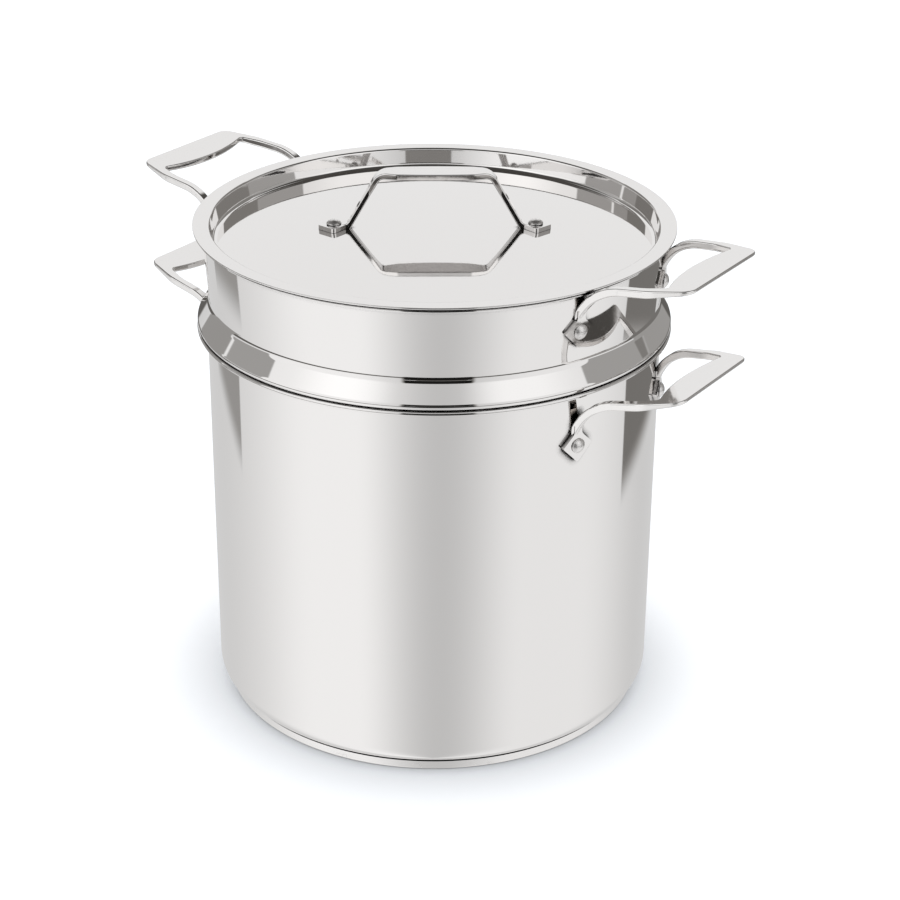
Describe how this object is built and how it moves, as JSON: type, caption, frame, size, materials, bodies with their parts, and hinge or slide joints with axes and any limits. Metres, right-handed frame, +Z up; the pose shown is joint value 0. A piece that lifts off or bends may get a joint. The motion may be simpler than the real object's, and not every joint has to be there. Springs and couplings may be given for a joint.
{
  "type": "pasta pot with strainer insert",
  "caption": "Tall straight-sided stock pot with a perforated strainer insert hanging on its rim, loop handles on both and a lid with a strap handle.",
  "frame": {"origin": "middle of the base's underside, on the pot's axis", "axes": "+Z up along the pot's axis, +X through the right-hand loop handles"},
  "size_m": [0.3674, 0.2726, 0.3154],
  "materials": {
    "pot_steel": "mirror-polished stainless steel",
    "base_steel": "polished stainless steel",
    "core_aluminium": "machined aluminium, hidden in the base",
    "insert_steel": "mirror-polished stainless steel",
    "lid_steel": "mirror-polished stainless steel",
    "handle_steel": "polished cast stainless steel",
    "rivet_steel": "polished stainless steel"
  },
  "bodies": {
    "pot": {"pot_shell": "pot_steel", "base_core_disc": "core_aluminium", "base_cap": "base_steel", "pot_handle_right": "handle_steel", "pot_handle_left": "handle_steel", "pot_rivet_right_front": "rivet_steel", "pot_rivet_right_back": "rivet_steel", "pot_rivet_left_front": "rivet_steel", "pot_rivet_left_back": "rivet_steel"},
    "insert": {"insert_basket": "insert_steel", "insert_handle_right": "handle_steel", "insert_handle_left": "handle_steel", "insert_rivet_right_front": "rivet_steel", "insert_rivet_right_back": "rivet_steel", "insert_rivet_left_front": "rivet_steel", "insert_rivet_left_back": "rivet_steel"},
    "lid": {"lid_shell": "lid_steel", "lid_handle": "handle_steel", "lid_rivet_left": "rivet_steel", "lid_rivet_right": "rivet_steel"}
  },
  "joints": [
    {"name": "insert_lift", "type": "slide", "parent": "pot", "child": "insert", "axis": [0, 0, 1], "range_m": [0, 0.21]},
    {"name": "lid_lift", "type": "slide", "parent": "insert", "child": "lid", "axis": [0, 0, 1], "range_m": [0, 0.12]}
  ]
}
